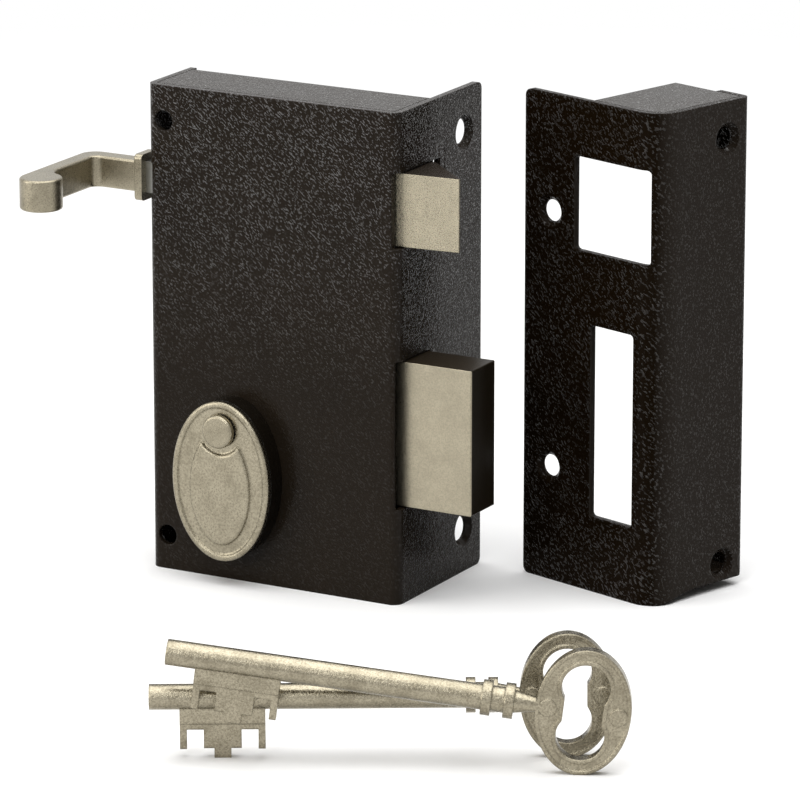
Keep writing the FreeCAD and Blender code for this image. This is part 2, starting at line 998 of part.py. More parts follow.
def latch_rivet_places():
    return [latch_rear + s.bar_overlap * 0.25, latch_rear + s.bar_overlap * 0.75]


def make_latch_rivets():
    return group(
        "latch_rivets",
        [
            cylinder_along_y(f"latch_rivet_{number}", x, latch_z, latch_front, latch_back, s.tail_rivet_radius)
            for number, x in enumerate(latch_rivet_places(), start=1)
        ],
    )


drive_pin_x = from_left(s.crank_pivot_place) + s.latch_travel / 2
collar_left = bar_start - s.collar_thickness


def make_pull_bar():
    """A flat steel bar runs from the latch out through the left side."""
    bar_half = s.bar_height / 2
    bar = box(
        "bar_blank",
        bar_start,
        latch_front,
        latch_z - bar_half,
        latch_rear + s.bar_overlap,
        bar_back,
        latch_z + bar_half,
    )
    middle = (latch_front + bar_back) / 2
    tenon = box(
        "bar_tenon",
        bar_start - s.tenon_length,
        middle - s.tenon_thickness / 2,
        latch_z - s.tenon_height / 2,
        bar_start,
        middle + s.tenon_thickness / 2,
        latch_z + s.tenon_height / 2,
    )
    holes = [
        cylinder_along_y(
            f"bar_rivet_hole_{number}", x, latch_z, latch_front - over, bar_back + over,
            s.tail_rivet_radius + s.running_fit,
        )
        for number, x in enumerate(latch_rivet_places(), start=1)
    ]
    holes.append(
        cylinder_along_y(
            "bar_pin_hole", drive_pin_x, latch_z, latch_front - over, bar_back + over,
            s.drive_pin_radius + s.running_fit,
        )
    )
    return cut("pull_bar", fuse("bar_joined", [bar, tenon]), holes)


def make_pull_handle():
    """The handle: collar, arm, leg towards the room and round knob, in one casting."""
    body = new_body("handle_casting")
    middle = (latch_front + bar_back) / 2
    arm_front = middle - s.arm_thickness / 2
    arm_back = middle + s.arm_thickness / 2
    leg_outer = collar_left - s.arm_length
    leg_inner = leg_outer + s.leg_thickness
    knob_y = arm_back - s.leg_reach
    knob_x = leg_outer + s.knob_radius
    outline = new_sketch(body, "handle_outline", "XY_Plane", latch_z)
    draw_polygon(
        outline,
        [
            (collar_left + s.collar_thickness / 2, arm_front),
            (leg_inner, arm_front),
            (leg_inner, knob_y),
            (leg_outer, knob_y),
            (leg_outer, arm_back),
            (collar_left + s.collar_thickness / 2, arm_back),
        ],
    )
    pad(body, outline, s.bar_height, midplane=True)

    def outer_corner(edge):
        return runs_along(edge, AXIS_Z, leg_outer, arm_back)

    def inner_corner(edge):
        return runs_along(edge, AXIS_Z, leg_inner, arm_front)

    round_edges(body, outer_corner, s.arm_outer_radius, "arm_outer_corner")
    round_edges(body, inner_corner, s.arm_inner_radius, "arm_inner_corner")
    knob = new_sketch(body, "knob_outline", "XY_Plane", latch_z)
    draw_circle(knob, knob_x, knob_y, s.knob_radius)
    pad(body, knob, s.bar_height, midplane=True)

    def knob_corner(edge):
        if not runs_along(edge, AXIS_Z, leg_inner):
            return False
        return edge.BoundBox.Center.y < (arm_front - s.arm_inner_radius - over).value

    round_edges(body, knob_corner, s.knob_fillet, "knob_corner")

    def flat_edge(edge):
        box_of_edge = edge.BoundBox
        level = as_size(s.bar_height / 2).value
        middle_z = latch_z.value
        flat = near(box_of_edge.ZMin, box_of_edge.ZMax)
        on_top = near(abs(box_of_edge.ZMax - middle_z), level)
        return flat and on_top and box_of_edge.XMax < collar_left.value + s.collar_thickness.value / 3

    round_edges(body, flat_edge, s.handle_edge_radius, "handle_edges")
    collar = new_sketch(body, "collar_outline", "YZ_Plane", collar_left)
    draw_rectangle(
        collar,
        middle - s.collar_depth / 2,
        latch_z - s.collar_height / 2,
        middle + s.collar_depth / 2,
        latch_z + s.collar_height / 2,
    )
    pad(body, collar, s.collar_thickness)

    def collar_corner(edge):
        return runs_along(edge, AXIS_X) and near(
            abs(edge.BoundBox.Center.z - latch_z.value), s.collar_height.value / 2
        )

    round_edges(body, collar_corner, s.handle_edge_radius * 2, "collar_corners")
    fit = s.running_fit
    socket = box(
        "handle_socket",
        bar_start - s.tenon_length - fit,
        middle - s.tenon_thickness / 2 - fit,
        latch_z - s.tenon_height / 2 - fit,
        bar_start + over,
        middle + s.tenon_thickness / 2 + fit,
        latch_z + s.tenon_height / 2 + fit,
    )
    return cut("pull_handle", body, [socket])


crank_x = from_left(s.crank_pivot_place)
crank_z = from_bottom(s.crank_pivot_height)
fork_reach = latch_z - crank_z


def make_drive_pin():
    """The pin on the bar that the crank's fork holds."""
    return cylinder_along_y(
        "drive_pin", drive_pin_x, latch_z, latch_front, crank_layer_back() + s.drive_pin_end, s.drive_pin_radius
    )


def crank_layer_front():
    return from_front(s.crank_depth)


def crank_layer_back():
    return crank_layer_front() + s.crank_thickness


def make_latch_crank():
    """A bell crank: the fork draws the latch, the toe lies in the key's path."""
    body = new_body("crank_plate")
    half = s.latch_travel / 2
    arm_length = math.hypot(half.value, fork_reach.value)
    along = (half / arm_length, fork_reach / arm_length)
    side = (along[1], -along[0])
    fork_half = s.drive_pin_radius + s.fork_gap + s.fork_wall
    arm_half = s.crank_arm_width / 2

    def on_arm(distance, offset):
        return (
            crank_x + along[0] * distance + side[0] * offset,
            crank_z + along[1] * distance + side[1] * offset,
        )

    reach = arm_length + s.fork_overrun
    throat = arm_length - 2 * fork_half
    outline = new_sketch(body, "crank_arm", "XZ_Plane", -crank_layer_back())
    draw_polygon(
        outline,
        [
            on_arm(as_size(0), -arm_half),
            on_arm(as_size(0), arm_half),
            on_arm(throat - s.crank_shoulder, arm_half),
            on_arm(throat, fork_half),
            on_arm(reach, fork_half),
            on_arm(reach, -fork_half),
            on_arm(throat, -fork_half),
            on_arm(throat - s.crank_shoulder, -arm_half),
        ],
    )
    pad(body, outline, s.crank_thickness)
    hub = new_sketch(body, "crank_hub", "XZ_Plane", -crank_layer_back())
    draw_circle(hub, crank_x, crank_z, s.crank_hub_radius)
    pad(body, hub, s.crank_thickness)
    toe_x = crank_x + s.crank_toe_place
    toe_z = crank_z - s.crank_toe_drop
    toe_length = math.hypot(s.crank_toe_place.value, s.crank_toe_drop.value)
    across = (s.crank_toe_drop / toe_length, s.crank_toe_place / toe_length)
    root = arm_half
    toe = new_sketch(body, "crank_toe_arm", "XZ_Plane", -crank_layer_back())
    tip = s.crank_toe_radius
    draw_polygon(
        toe,
        [
            (crank_x + across[0] * root, crank_z + across[1] * root),
            (crank_x - across[0] * root, crank_z - across[1] * root),
            (toe_x - across[0] * tip, toe_z - across[1] * tip),
            (toe_x + across[0] * tip, toe_z + across[1] * tip),
        ],
    )
    pad(body, toe, s.crank_thickness)
    toe_end = new_sketch(body, "crank_toe_end", "XZ_Plane", -crank_layer_back())
    draw_circle(toe_end, toe_x, toe_z, tip)
    pad(body, toe_end, s.crank_thickness)
    slot = new_sketch(body, "crank_slot", "XZ_Plane", -crank_layer_front() + over)
    slot_half = s.drive_pin_radius + s.fork_gap
    slot_root = as_size(fork_reach.value) - slot_half - s.fork_gap
    draw_polygon(
        slot,
        [
            on_arm(slot_root, -slot_half),
            on_arm(slot_root, slot_half),
            on_arm(reach + over, slot_half),
            on_arm(reach + over, -slot_half),
        ],
    )
    pocket(body, slot, s.crank_thickness + 2 * over)
    bore = new_sketch(body, "crank_bore", "XZ_Plane", -crank_layer_front() + over)
    draw_circle(bore, crank_x, crank_z, s.crank_post_radius + s.running_fit)
    pocket(body, bore, s.crank_thickness + 2 * over)
    body.Label = "latch_crank"
    return body


def make_crank_post():
    """The crank turns on a headed stud that is riveted to the back cover."""
    neck = s.spacer_gap
    front = crank_layer_front() - neck
    stud = cylinder_along_y("crank_stud", crank_x, crank_z, front, inner_back, s.crank_post_radius)
    head = cylinder_along_y("crank_stud_head", crank_x, crank_z, front - s.stud_head_height, front, s.spacer_radius)
    collar = cylinder_along_y(
        "crank_stud_collar", crank_x, crank_z, crank_layer_back() + neck, inner_back, s.spacer_radius
    )
    return fuse("crank_post", [stud, head, collar])


def make_latch_spring():
    """A coil spring between the bracket and the back of the latch."""
    start = from_left(s.bracket_place + s.bracket_thickness)
    length = latch_rear - start - s.spring_wire
    coil = doc.addObject("Part::Helix", "spring_line")
    bind(coil, "Radius", s.spring_radius)
    bind(coil, "Height", length)
    bind(coil, "Pitch", length / s.spring_turns)
    wire = doc.addObject("Part::Circle", "spring_wire_section")
    bind(wire, "Radius", s.spring_wire / 2)
    wire.Placement.Rotation = FreeCAD.Rotation(Vector(1, 0, 0), 90)
    bind(wire, "Placement.Base.x", s.spring_radius)
    sweep = doc.addObject("Part::Sweep", "latch_spring")
    sweep.Label = "latch_spring"
    doc.recompute()
    sweep.Sections = [wire]
    sweep.Spine = (coil, [f"Edge{i + 1}" for i in range(len(coil.Shape.Edges))])
    sweep.Solid = True
    sweep.Frenet = True
    sweep.Placement.Rotation = FreeCAD.Rotation(Vector(0, 1, 0), 90)
    place(sweep, start + s.spring_wire / 2, from_front(s.rod_depth), latch_z)
    return sweep


def make_spring_rod():
    """The rod keeps the spring in line and slides through the bracket."""
    start = from_left(s.bracket_place) - s.rod_end_length
    return cylinder_along_x(
        "spring_rod", start, from_front(s.rod_depth), latch_z, latch_rear - start, s.rod_radius
    )


def make_spring_bracket():
    """An angle on the back cover that the spring pushes against."""
    start = from_left(s.bracket_place)
    end = start + s.bracket_thickness
    low = latch_z - s.bracket_height / 2
    high = latch_z + s.bracket_height / 2
    wall = box("bracket_wall", start, bar_back + s.bracket_gap, low, end, inner_back, high)
    foot = box("bracket_foot_plate", start, inner_back - s.bracket_thickness, low, end + s.bracket_foot, inner_back, high)
    hole = cylinder_along_x(
        "bracket_hole",
        start - over,
        from_front(s.rod_depth),
        latch_z,
        s.bracket_thickness + 2,
        s.rod_radius + s.rod_gap,
    )
    return cut("spring_bracket", fuse("bracket_blank", [wall, foot]), [hole])


def tail_rivet_heights():
    middle = (from_bottom(s.tail_bottom) + bolt_high) / 2
    return [middle - s.tail_rivet_pitch / 2, middle + s.tail_rivet_pitch / 2]


def make_deadbolt():
    """A plain square bolt with a seat for its tail."""
    body = new_body("bolt_block")
    profile = new_sketch(body, "bolt_profile", "XZ_Plane", -bolt_back)
    draw_rectangle(profile, bolt_rear, bolt_low, bolt_end, bolt_high)
    pad(body, profile, s.bolt_thickness)

    def end_edge(edge):
        return near(edge.BoundBox.XMin, bolt_end.value) and near(edge.BoundBox.XMax, bolt_end.value)

    round_edges(body, end_edge, s.bolt_edge_radius, "bolt_end_edges")
    tail_right = bolt_rear + s.tail_overlap
    seat = box(
        "tail_seat",
        bolt_rear - over,
        bolt_front - over,
        from_bottom(s.tail_bottom) - s.running_fit,
        tail_right + s.running_fit,
        tail_back,
        bolt_high + over,
    )
    tools = [seat]
    rivet_x = bolt_rear + s.tail_overlap / 2
    for number, z in enumerate(tail_rivet_heights(), start=1):
        tools.append(
            cylinder_along_y(
                f"bolt_rivet_hole_{number}", rivet_x, z, bolt_front - over, bolt_back + over,
                s.tail_rivet_radius + s.running_fit,
            )
        )
    return cut("deadbolt", body, tools)


def make_bolt_tail():
    """The tail has two talons for the key and a slot that rides on a post."""
    body = new_body("tail_plate")
    low = from_bottom(s.tail_bottom)
    left = from_left(s.tail_start)
    right = bolt_rear + s.tail_overlap
    talon_one = from_left(s.talon_place)
    talon_two = talon_one + s.bolt_travel / 2
    roof = low + s.talon_depth
    profile = new_sketch(body, "tail_profile", "XZ_Plane", -tail_back)
    draw_polygon(
        profile,
        [
            (left, low),
            (talon_one, low),
            (talon_one, roof),
            (talon_one + s.talon_width, roof),
            (talon_one + s.talon_width, low),
            (talon_two, low),
            (talon_two, roof),
            (talon_two + s.talon_width, roof),
            (talon_two + s.talon_width, low),
            (right, low),
            (right, from_bottom(s.tail_top)),
            (from_left(s.tail_step), from_bottom(s.tail_top)),
            (from_left(s.tail_step), from_bottom(s.tail_low_top)),
            (left, from_bottom(s.tail_low_top)),
        ],
    )
    pad(body, profile, s.tail_thickness)
    slot = new_sketch(body, "guide_slot", "XZ_Plane", -tail_front + over)
    guide_x = from_left(s.guide_post_place)
    guide_z = from_bottom(s.guide_post_height)
    slot_half = s.guide_post_radius + s.gate_gap / 2
    draw_rectangle(
        slot,
        guide_x - slot_half,
        guide_z - slot_half,
        guide_x + s.bolt_travel + slot_half,
        guide_z + slot_half,
    )
    pocket(body, slot, s.tail_thickness + 2 * over)
    tools = []
    rivet_x = bolt_rear + s.tail_overlap / 2
    for number, z in enumerate(tail_rivet_heights(), start=1):
        tools.append(
            cylinder_along_y(
                f"tail_rivet_hole_{number}", rivet_x, z, tail_front - over, tail_back + over,
                s.tail_rivet_radius + s.running_fit,
            )
        )
    tools.append(
        cylinder_along_y(
            "stump_hole",
            from_left(s.stump_place),
            from_bottom(s.stump_height),
            tail_front - over,
            tail_back + over,
            s.stump_radius,
        )
    )
    return cut("bolt_tail", body, tools)


def make_tail_rivets():
    rivet_x = bolt_rear + s.tail_overlap / 2
    return group(
        "tail_rivets",
        [
            cylinder_along_y(f"tail_rivet_{number}", rivet_x, z, tail_front, bolt_back, s.tail_rivet_radius)
            for number, z in enumerate(tail_rivet_heights(), start=1)
        ],
    )


tail_middle = (tail_front + tail_back) / 2


def make_bolt_stump():
    """The stump on the tail that the levers' gates let through."""
    return cylinder_along_y(
        "bolt_stump",
        from_left(s.stump_place),
        from_bottom(s.stump_height),
        tail_middle - s.stump_length / 2,
        tail_middle + s.stump_length / 2,
        s.stump_radius,
    )


def post_across(name, place_left, height, radius):
    """A post that stands between the front and the back cover."""
    return cylinder_along_y(name, from_left(place_left), from_bottom(height), inner_front, inner_back, radius)


def lever_layers():
    """The front faces of the four levers: two in front of the tail, two behind it."""
    gap = s.lever_pitch - s.lever_thickness
    front_of_tail = tail_front - s.tail_clearance - s.lever_thickness
    behind_tail = tail_back + s.tail_clearance
    return [
        front_of_tail - s.lever_pitch,
        front_of_tail,
        behind_tail,
        behind_tail + s.lever_thickness + gap,
    ]


def make_lever(number, front):
    """A lever with its bore, belly and gate, lifted to where the stump passes."""
    body = new_body(f"lever_{number}_plate")
    back = front + s.lever_thickness
    post_x = from_left(s.lever_post_place)
    post_z = from_bottom(s.lever_post_height)
    top = from_bottom(s.lever_top)
    right = from_left(s.lever_right)
    belly = from_bottom(s.lever_belly)
    outline = new_sketch(body, f"lever_{number}_outline", "XZ_Plane", -back)
    draw_polygon(
        outline,
        [
            (post_x, top),
            (right, top),
            (right, from_bottom(s.stump_height) - s.lever_nose_drop),
            (key_x + s.belly_right, belly),
            (key_x - s.belly_left, belly),
            (post_x - s.lever_hub_radius * 0.9, post_z - s.lever_hub_radius * 0.4),
        ],
    )
    pad(body, outline, s.lever_thickness)
    hub = new_sketch(body, f"lever_{number}_hub", "XZ_Plane", -back)
    draw_circle(hub, post_x, post_z, s.lever_hub_radius)
    pad(body, hub, s.lever_thickness)
    stump_x = from_left(s.stump_place)
    stump_z = from_bottom(s.stump_height)
    gate_half = s.stump_radius + s.gate_gap
    gate = new_sketch(body, f"lever_{number}_gate", "XZ_Plane", -front + over)
    step = s.bolt_travel / 2
    side = gate_half + s.pocket_side
    points = []
    # The gate's outline runs along the bottom of its three pockets and back along the top
    for index, sign in ((2, -1), (1, -1), (0, -1), (0, 1), (1, 1), (2, 1)):
        centre = stump_x - step * index
        share = 1 - s.pocket_step * index
        deep = (s.pocket_below if sign < 0 else s.pocket_above) * share
        near_edge = centre + side * sign
        far_edge = centre - side * sign
        outer = stump_z + (gate_half + deep) * sign
        inner = stump_z + gate_half * sign
        entry = [(near_edge, inner), (near_edge, outer), (far_edge, outer), (far_edge, inner)]
        if (index, sign) in ((2, -1), (0, 1)):
            entry = entry[1:]
        if (index, sign) in ((0, -1), (2, 1)):
            entry = entry[:-1]
        points += entry
    draw_polygon(gate, points)
    pocket(body, gate, s.lever_thickness + 2 * over)
    bore = new_sketch(body, f"lever_{number}_bore", "XZ_Plane", -front + over)
    draw_circle(bore, post_x, post_z, s.lever_post_radius + s.running_fit)
    pocket(body, bore, s.lever_thickness + 2 * over)
    body.Label = f"lever_{number}"
    return body


def make_lever_spring(number, front):
    """A leaf that is staked in the lever's top edge and bears on the stop post."""
    body = new_body(f"lever_{number}_leaf")
    back = front + s.lever_thickness
    start = from_left(s.lever_post_place) + s.lever_hub_radius + s.leaf_inset
    top = from_bottom(s.lever_top)
    thick = s.lever_spring_width
    middle = start + s.leaf_foot + s.lever_spring_length / 2
    outline = new_sketch(body, f"leaf_{number}_outline", "XZ_Plane", -back)
    draw_polygon(
        outline,
        [
            (start, top),
            (start + s.leaf_foot, top),
            (middle + thick, top + s.leaf_middle_rise - thick),
            (start + s.lever_spring_length, top + s.lever_spring_rise - thick),
            (start + s.lever_spring_length, top + s.lever_spring_rise),
            (middle, top + s.leaf_middle_rise),
            (start + s.leaf_foot - thick, top + thick),
            (start, top + thick),
        ],
    )
    pad(body, outline, s.lever_thickness)
    body.Label = f"lever_spring_{number}"
    return body


def make_lever_spacers():
    """Rings on the lever post keep the two pairs of levers in their layers."""
    layers = lever_layers()
    gap = s.spacer_gap
    thick = s.lever_thickness
    post_x = from_left(s.lever_post_place)
    post_z = from_bottom(s.lever_post_height)
    spans = [
        (inner_front, layers[0] - gap),
        (layers[1] + thick + gap, layers[2] - gap),
        (layers[3] + thick + gap, inner_back),
    ]
    rings = []
    for number, (front, back) in enumerate(spans, start=1):
        ring = cylinder_along_y(f"spacer_{number}_blank", post_x, post_z, front, back, s.spacer_radius)
        bore = cylinder_along_y(
            f"spacer_{number}_bore", post_x, post_z, front - over, back + over,
            s.lever_post_radius + s.running_fit,
        )
        rings.append(cut(f"spacer_{number}", ring, [bore]))
    return group("lever_spacers", rings)


def make_spring_stop():
    """The post above the leaves."""
    leaf_end = s.lever_post_place + s.lever_hub_radius + s.leaf_inset + s.lever_spring_length
    x = leaf_end - s.leaf_end_overlap
    rise = s.lever_top + s.lever_spring_rise + s.spring_stop_gap + s.spring_stop_radius
    return post_across("spring_stop_post", x, rise, s.spring_stop_radius)


# Straight pieces in which the curved start of the keeper's relief is drawn
RELIEF_STEPS = 6


def make_keeper_plate():
    """The keeper's window plate and room face are one folded sheet."""
    body = new_body("keeper_sheet")
    sheet_size = s.sheet_thickness
    profile = new_sketch(body, "keeper_profile", "XY_Plane")
    draw_polygon(
        profile,
        [
            (-s.keeper_plate_width, 0),
            (0, 0),
            (0, s.keeper_face_width),
            (-s.keeper_return, s.keeper_face_width),
            (-s.keeper_return, s.keeper_face_width - sheet_size),
            (-sheet_size, s.keeper_face_width - sheet_size),
            (-sheet_size, sheet_size),
            (-s.keeper_plate_width, sheet_size),
        ],
    )
    pad(body, profile, s.case_height, midplane=True)
    round_edges(body, lambda edge: runs_along(edge, AXIS_Z, 0, 0), s.keeper_bend_radius, "keeper_bend")
    inner = s.keeper_bend_radius - sheet_size
    round_edges(
        body,
        lambda edge: runs_along(edge, AXIS_Z, -sheet_size, sheet_size),
        inner,
        "keeper_inner_bend",
    )

    round_edges(
        body,
        lambda edge: runs_along(edge, AXIS_Z, 0, s.keeper_face_width),
        s.return_bend_radius,
        "return_bend",
    )
    round_edges(
        body,
        lambda edge: runs_along(edge, AXIS_Z, -sheet_size, s.keeper_face_width - sheet_size),
        s.return_bend_radius - sheet_size,
        "return_inner_bend",
    )

    def outer_corner(edge):
        return runs_along(edge, AXIS_Y, -s.keeper_plate_width) or runs_along(edge, AXIS_Y, -s.keeper_return)

    round_edges(body, outer_corner, s.lip_corner_radius, "keeper_corners")
    holes = new_sketch(body, "keeper_holes", "XZ_Plane", over)
    hole_x = s.keeper_hole_inset - s.keeper_plate_width
    for side in (1, -1):
        height = from_bottom(s.keeper_hole_height) + side * s.keeper_hole_pitch / 2
        draw_circle(holes, hole_x, height, s.keeper_hole_radius)
    pocket(body, holes, sheet_size + 2 * over)
    chamfer_rings(body, s.keeper_hole_radius, AXIS_Y, 0, s.countersink_width, "plate_countersinks")
    face_holes = new_sketch(body, "face_holes", "YZ_Plane", over)
    for side in (1, -1):
        height = from_bottom(s.face_hole_height) + side * s.face_hole_pitch / 2
        draw_circle(face_holes, s.face_hole_back, height, s.keeper_hole_radius)
    pocket(body, face_holes, sheet_size + 2 * over)
    chamfer_rings(body, s.keeper_hole_radius, AXIS_X, 0, s.countersink_width, "face_countersinks")
    relief = new_sketch(body, "face_relief", "YZ_Plane", over)
    low = -half_height
    level = low + s.face_relief_depth
    outline = [(s.keeper_face_width + over, low - over), (s.face_relief_front, low - over)]
    for step in range(RELIEF_STEPS + 1):
        share = step / RELIEF_STEPS
        outline.append(
            (
                s.face_relief_front + s.face_relief_rise * share,
                low + s.face_relief_depth * math.sin(math.pi / 2 * share),
            )
        )
    outline.append((s.keeper_face_width - s.face_corner_width, level))
    outline.append((s.keeper_face_width, level + s.face_corner_height))
    outline.append((s.keeper_face_width + over, level + s.face_corner_height))
    draw_polygon(relief, outline)
    pocket(body, relief, s.keeper_return + 2 * over)
    latch_window = make_window(
        "latch_window",
        s.latch_window_start,
        s.latch_window_width,
        s.latch_window_bottom,
        s.latch_window_height,
    )
    bolt_window = make_window(
        "bolt_window",
        s.bolt_window_start,
        s.bolt_window_width,
        s.bolt_window_bottom,
        s.bolt_window_height,
    )
    return cut("keeper_plate", body, [latch_window, bolt_window])


def make_window(name, start, width, bottom, height):
    """A window with rounded corners, as a solid to cut with."""
    body = new_body(name)
    outline = new_sketch(body, name + "_outline", "XZ_Plane", over)
    draw_rectangle(outline, -start - width, from_bottom(bottom), -start, from_bottom(bottom + height))
    feature = pad(body, outline, s.keeper_bend_radius + 2 * over)
    feature.Reversed = True
    doc.recompute()
    round_edges(body, lambda edge: runs_along(edge, AXIS_Y), s.window_corner_radius, name + "_corners")
    return body


def make_keeper_cap(name, level):
    """An end cap between the keeper's two walls."""
    body = new_body(name)
    low = s.sheet_thickness + s.seam_gap
    profile = new_sketch(body, name + "_profile", "XY_Plane", level)
    draw_rectangle(
        profile, -s.keeper_box_width, low, -low, s.keeper_face_width - s.sheet_thickness - s.seam_gap
    )
    pad(body, profile, s.sheet_thickness)
    round_edges(
        body,
        lambda edge: runs_along(edge, AXIS_Z, -low, low),
        s.keeper_bend_radius - s.sheet_thickness,
        name + "_corner",
    )
    return body


def turn_upright(item, x, y, z, angle):
    """Turns a finished piece about the vertical and puts it in its place."""
    item.Placement = FreeCAD.Placement(Vector(0, 0, 0), FreeCAD.Rotation(Vector(0, 0, 1), 1))
    place(item, x, y, z)
    bind(item, "Placement.Rotation.Angle", angle)


def make_key_bit(name):
    """The bit: two prongs and a stepped block on a thicker band along the shaft."""
    body = new_body(name + "_bit_body")
    start = s.key_tip
    end = s.key_tip + s.bit_width
    middle = s.key_tip + s.bit_width / 2
    block = s.bit_block_width / 2
    step = s.bit_step_width / 2
    outline = new_sketch(body, name + "_bit", "XZ_Plane")
    draw_polygon(
        outline,
        [
            (start, 0),
            (start, -s.bit_prong_reach),
            (start + s.bit_prong_width, -s.bit_prong_reach),
            (start + s.bit_prong_width, -s.bit_root_reach),
            (middle - block, -s.bit_root_reach),
            (middle - block, -s.bit_block_reach),
            (middle - step, -s.bit_block_reach),
            (middle - step, -s.bit_step_reach),
            (middle + step, -s.bit_step_reach),
            (middle + step, -s.bit_block_reach),
            (middle + block, -s.bit_block_reach),
            (middle + block, -s.bit_root_reach),
            (end - s.bit_prong_width, -s.bit_root_reach),
            (end - s.bit_prong_width, -s.bit_prong_reach),
            (end, -s.bit_prong_reach),
            (end, 0),
        ],
    )
    pad(body, outline, s.bit_thickness, midplane=True)
    band = new_sketch(body, name + "_band", "XZ_Plane")
    draw_rectangle(band, start, -s.bit_band_reach, end, 0)
    pad(body, band, s.bit_band_thickness, midplane=True)
    return body


def bow_opening(name, front, back, margin):
    """The bow's hole, two rounds with a waist between them, larger by a margin."""
    rounds = [
        cylinder_along_y(
            f"{name}_round_{number}",
            bow_centre,
            side * s.bow_hole_spread,
            front,
            back,
            s.bow_hole_radius + margin,
        )
        for number, side in ((1, 1), (2, -1))
    ]
    half_waist = s.bow_waist_width / 2 + margin
    half_spread = s.bow_hole_spread / 2
    waist = box(
        name + "_waist",
        bow_centre - half_waist,
        front,
        -half_spread,
        bow_centre + half_waist,
        back,
        half_spread,
    )
    return fuse(name, rounds + [waist])


def make_key_bow(name):
    """An oval bow with raised rims round its edge and its hole, and two round marks."""
    half_thick = s.bow_thickness / 2
    oval = oval_along_y(
        name + "_oval", bow_centre, as_size(0), -half_thick, s.bow_thickness, s.bow_length / 2, s.bow_width / 2
    )
    tools = [bow_opening(name + "_hole", -s.bow_thickness, s.bow_thickness, as_size(0))]
    faces = (("front", -half_thick - over, -half_thick + s.bow_field_depth),
             ("back", half_thick - s.bow_field_depth, half_thick + over))
    for side, start, end in faces:
        field = oval_along_y(
            f"{name}_{side}_field",
            bow_centre,
            as_size(0),
            start,
            end - start,
            s.bow_length / 2 - s.bow_rim_width,
            s.bow_width / 2 - s.bow_rim_width,
        )
        kept = [bow_opening(f"{name}_{side}_rim", start, end, s.bow_rim_width)]
        for number, sign in ((1, 1), (2, -1)):
            mark_x = bow_centre + sign * s.bow_mark_place
            kept.append(
                cylinder_along_y(f"{name}_{side}_mark_{number}", mark_x, 0, start, end, s.bow_mark_radius)
            )
        tools.append(cut(f"{name}_{side}_recess", field, kept))
    return cut(name, oval, tools)


def make_key(name, x, y, turn, tilt):
    """A lever key, with its bow's centre above the given place."""
    shaft = cylinder_along_x(name + "_shaft", as_size(0), 0, 0, s.collar_two_place, s.key_shaft_radius)
    rings = [
        cylinder_along_x(
            f"{name}_collar_{number}", position, 0, 0, s.key_collar_width, s.key_collar_radius
        )
        for number, position in ((1, s.collar_one_place), (2, s.collar_two_place))
    ]
    collars = fuse(name + "_collars", rings)
    neck = doc.addObject("Part::Cone", name + "_neck")
    bind(neck, "Radius1", s.key_neck_radius)
    bind(neck, "Radius2", s.bow_thickness / 2)
    bind(neck, "Height", s.key_neck_end - s.collar_two_place)
    neck.Placement.Rotation = FreeCAD.Rotation(Vector(0, 1, 0), 90)
    place(neck, s.collar_two_place, 0, 0)
    key = fuse(name + "_lying", [shaft, collars, neck, make_key_bit(name), make_key_bow(name + "_bow")])
    # Tilting about the bow's centre lifts the tip or lets it down
    key.Placement.Rotation = FreeCAD.Rotation(Vector(0, 1, 0), 1)
    bind(key, "Placement.Rotation.Angle", tilt)
    place(key, -bow_centre * cosine(tilt), 0, bow_centre * sine(tilt))
    standing = group(name, [key])
    turn_upright(standing, x, y, s.bow_width / 2 - half_height, turn)
    return standing


bow_centre = s.key_length - s.bow_length / 2

nodes = [
    make_case_shell(),
    make_back_cover(),
    make_keyhole_boss(),
    make_keyhole_cover(),
    make_cover_rivet(),
    make_latch_bolt(),
    make_latch_rivets(),
    make_pull_bar(),
    make_pull_handle(),
    make_drive_pin(),
    make_latch_crank(),
    make_crank_post(),
    make_latch_spring(),
    make_spring_rod(),
    make_spring_bracket(),
    make_deadbolt(),
    make_bolt_tail(),
    make_tail_rivets(),
    make_bolt_stump(),
    post_across("tail_guide_post", s.guide_post_place, s.guide_post_height, s.guide_post_radius),
    post_across("lever_post", s.lever_post_place, s.lever_post_height, s.lever_post_radius),
    make_lever_spacers(),
    make_spring_stop(),
]
nodes += make_cover_fixings()
for number, front in enumerate(lever_layers(), start=1):
    nodes.append(make_lever(number, front))
    nodes.append(make_lever_spring(number, front))

keeper_z = as_size(0)
keeper = [
    make_keeper_plate(),
    make_keeper_cap("keeper_top_cap", half_height - s.sheet_thickness),
    make_keeper_cap("keeper_bottom_cap", s.face_relief_depth + s.cap_rise - half_height),
]
for item in keeper:
    turn_upright(item, s.keeper_x, s.keeper_y, keeper_z, s.keeper_turn)
nodes += keeper
nodes.append(make_key("key_1", s.key_front_x, s.key_front_y, s.key_front_turn, s.key_front_tilt))
nodes.append(make_key("key_2", s.key_rear_x, s.key_rear_y, s.key_rear_turn, s.key_rear_tilt))

doc.recompute()

# Every object and every sub-part is sound before anything is written
for item in doc.Objects:
    if "Invalid" in item.State or "Error" in item.State:
        raise RuntimeError(f"{item.Name} is in state {item.State}")
for item in nodes:
    if item.Shape.isNull() or not item.Shape.isValid():
        raise RuntimeError(f"{item.Label} has no valid shape")

os.makedirs("parts", exist_ok=True)
for item in nodes:
    item.Shape.exportStep(f"parts/{item.Label}.step")
print(len(nodes), "sub-parts written")
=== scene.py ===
import json
import math

